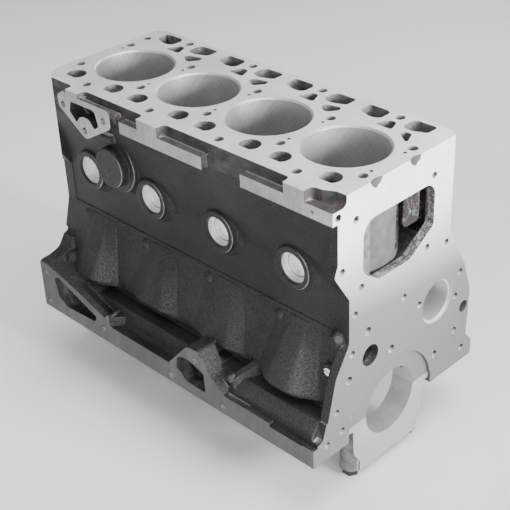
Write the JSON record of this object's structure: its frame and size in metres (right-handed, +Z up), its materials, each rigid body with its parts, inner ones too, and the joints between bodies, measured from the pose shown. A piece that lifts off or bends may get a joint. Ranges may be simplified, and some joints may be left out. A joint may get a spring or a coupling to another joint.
{
  "type": "engine block",
  "caption": "Cast iron engine block with in-line bores, water jacket, open crankcase, camshaft tunnel, bolted bearing caps and pressed core plugs.",
  "frame": {"origin": "crankshaft axis, in the middle of the centre main bearing", "axes": "+X along the crankshaft to the timing end, +Z up the cylinders to the head face, -Y to the dark side with the core plugs"},
  "size_m": [0.5265, 0.3059, 0.4132],
  "materials": {
    "block_iron": "dark painted casting with machined bare faces",
    "cap_iron": "rough casting with machined joint and cheeks",
    "bolt_steel": "dark heat-treated steel",
    "plated_steel": "bright pressed and plated steel",
    "bush_steel": "fine turned steel"
  },
  "bodies": {
    "root": {"cylinder_block": "block_iron", "main_cap_1": "cap_iron", "main_cap_2": "cap_iron", "main_cap_3": "cap_iron", "main_cap_4": "cap_iron", "main_cap_5": "cap_iron", "main_cap_bolts": "bolt_steel", "cap_ring_dowels": "bolt_steel", "core_plug_1": "plated_steel", "core_plug_2": "plated_steel", "core_plug_3": "plated_steel", "core_plug_4": "plated_steel", "rear_core_plug": "plated_steel", "rear_cam_plug": "plated_steel", "cam_bush": "bush_steel", "side_oil_plug": "plated_steel", "rear_gallery_plug": "plated_steel", "rear_dowels": "bush_steel"}
  },
  "joints": []
}
